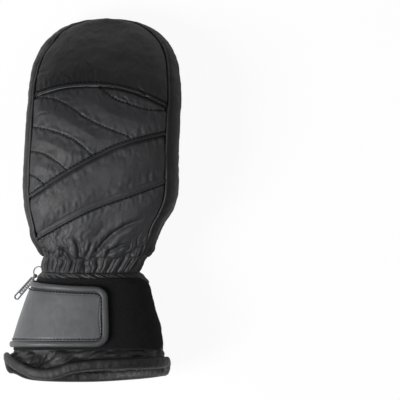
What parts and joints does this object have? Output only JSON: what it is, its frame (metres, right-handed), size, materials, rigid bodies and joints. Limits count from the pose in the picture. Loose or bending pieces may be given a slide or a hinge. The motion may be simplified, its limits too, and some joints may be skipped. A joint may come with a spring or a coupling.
{
  "type": "insulated leather ski mitten",
  "caption": "Insulated leather ski mitten for the left hand, with a gathered wrist, gauntlet cuff with zip, hook-and-loop strap, hanging ring and pairing hook.",
  "frame": {"origin": "centre of the cuff's mouth, on the hem's middle line", "axes": "+X to the thumb side, +Y to the fingertips, +Z out of the back of the hand; the mitten lies palm down"},
  "size_m": [0.1422, 0.2935, 0.0856],
  "materials": {
    "leather": "soft full-grain, satin",
    "strap_leather": "smooth full-grain, soft sheen",
    "elastic": "woven",
    "insert_film": "thin film",
    "wadding": "lofted fibre",
    "fleece": "brushed fleece",
    "loop_pile": "fuzzy loop pile",
    "hook_tape": "hook tape",
    "zip_tape": "woven",
    "zip_plastic": "moulded",
    "gunmetal": "dark gunmetal",
    "webbing": "woven tape",
    "black_plastic": "moulded"
  },
  "bodies": {
    "shell": {"fingertip_back_panel": "leather", "quilted_back_panel": "leather", "band_back_panel": "leather", "lower_back_panel": "leather", "side_gusset": "leather", "palm_panel": "leather", "palm_patch": "leather", "thumb_collar": "leather", "gathered_wrist": "leather", "wrist_elastics": "elastic", "cuff_back_panel": "leather", "cuff_palm_panel": "leather", "hem_binding": "leather", "waterproof_insert": "insert_film", "insulation": "wadding", "lining": "fleece", "loop_patch": "loop_pile", "strap_anchor": "strap_leather", "zip_tapes": "zip_tape", "zip_teeth": "zip_plastic", "zip_stops": "gunmetal", "ring_loop": "webbing", "hook_loop": "webbing"},
    "thumb": {"thumb_outer_panel": "leather", "thumb_inner_panel": "leather", "thumb_insulation": "wadding", "thumb_lining": "fleece"},
    "strap_flap": {"strap": "strap_leather", "strap_edging": "strap_leather", "strap_hook_patch": "hook_tape"},
    "slider": {"zip_slider": "gunmetal"},
    "pull_loop": {"pull_ring": "gunmetal"},
    "pull": {"pull_tab": "gunmetal"},
    "hang_ring": {"hanging_ring": "black_plastic"},
    "hook": {"clip_hook": "black_plastic"}
  },
  "joints": [
    {"name": "thumb_swing", "type": "hinge", "parent": "shell", "child": "thumb", "pos_m": [0.038, 0.133, -0.0128], "axis": [0, 0, -1], "range_deg": [-8, 50]},
    {"name": "strap_peel", "type": "hinge", "parent": "shell", "child": "strap_flap", "pos_m": [-0.0546, 0.04148, -0.00079], "axis": [-0.3192, -0.9477, -0.0026], "range_deg": [0, 150]},
    {"name": "zip_run", "type": "slide", "parent": "shell", "child": "slider", "axis": [-0.2867, -0.9563, -0.0566], "range_m": [0, 0.0609]},
    {"name": "pull_ring_swing", "type": "hinge", "parent": "slider", "child": "pull_loop", "pos_m": [-0.03498, 0.07512, -0.01429], "axis": [0.2867, 0.9563, 0.0566], "range_deg": [-40, 25]},
    {"name": "pull_tab_swing", "type": "hinge", "parent": "pull_loop", "child": "pull", "pos_m": [-0.04231, 0.07308, -0.01739], "axis": [-0.6475, 0.6836, -0.3369], "range_deg": [-45, 60]},
    {"name": "hanging_ring_swing", "type": "hinge", "parent": "shell", "child": "hang_ring", "pos_m": [0.04086, 0.073, -0.01858], "axis": [0, -1, 0], "range_deg": [-40, 100]},
    {"name": "hook_swing", "type": "hinge", "parent": "shell", "child": "hook", "pos_m": [0.02, 0.0065, -0.0384], "axis": [-1, 0, 0], "range_deg": [0, 150]}
  ]
}
